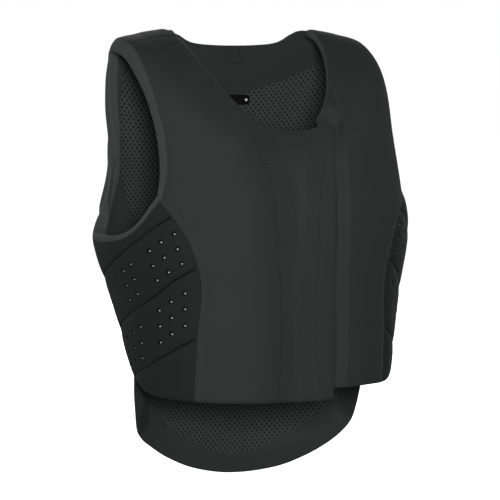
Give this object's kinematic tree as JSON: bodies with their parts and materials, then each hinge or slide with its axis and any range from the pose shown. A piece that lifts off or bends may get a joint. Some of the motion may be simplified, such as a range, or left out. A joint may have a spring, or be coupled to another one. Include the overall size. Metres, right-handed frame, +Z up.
{
  "type": "back protector vest",
  "caption": "Sleeveless vest with a thick padded back and rounded tail, vented padded sides, and padded fronts that close with an overlapping flap.",
  "frame": {"origin": "the middle of the wearer's shoulder line, where the straps rest, a little above the shoulder tips", "axes": "+Z up along the wearer's spine, -Y out of the wearer's chest, +X to the wearer's left"},
  "size_m": [0.3878, 0.2425, 0.5415],
  "materials": {
    "front_cloth": "matte black stretch knit over foam",
    "side_cloth": "matte black stretch knit over foam, pierced with vents",
    "back_cloth": "matte black stretch knit over thick foam",
    "lining_mesh": "charcoal spacer mesh with small round pores",
    "yoke_cloth": "smooth charcoal facing cloth",
    "closure_tape": "black fastening tape",
    "loop_ribbon": "black woven ribbon",
    "tab_rubber": "black moulded rubber",
    "stud_plastic": "pale satin plastic"
  },
  "bodies": {
    "root": {"front_panel_right": "front_cloth", "front_panel_left": "front_cloth", "side_panel_right": "side_cloth", "side_panel_left": "side_cloth", "back_protector": "back_cloth", "back_lining": "lining_mesh", "neck_yoke": "yoke_cloth", "front_closure": "closure_tape", "hang_loop": "loop_ribbon", "yoke_tab": "tab_rubber", "tab_stud": "stud_plastic"}
  },
  "joints": []
}
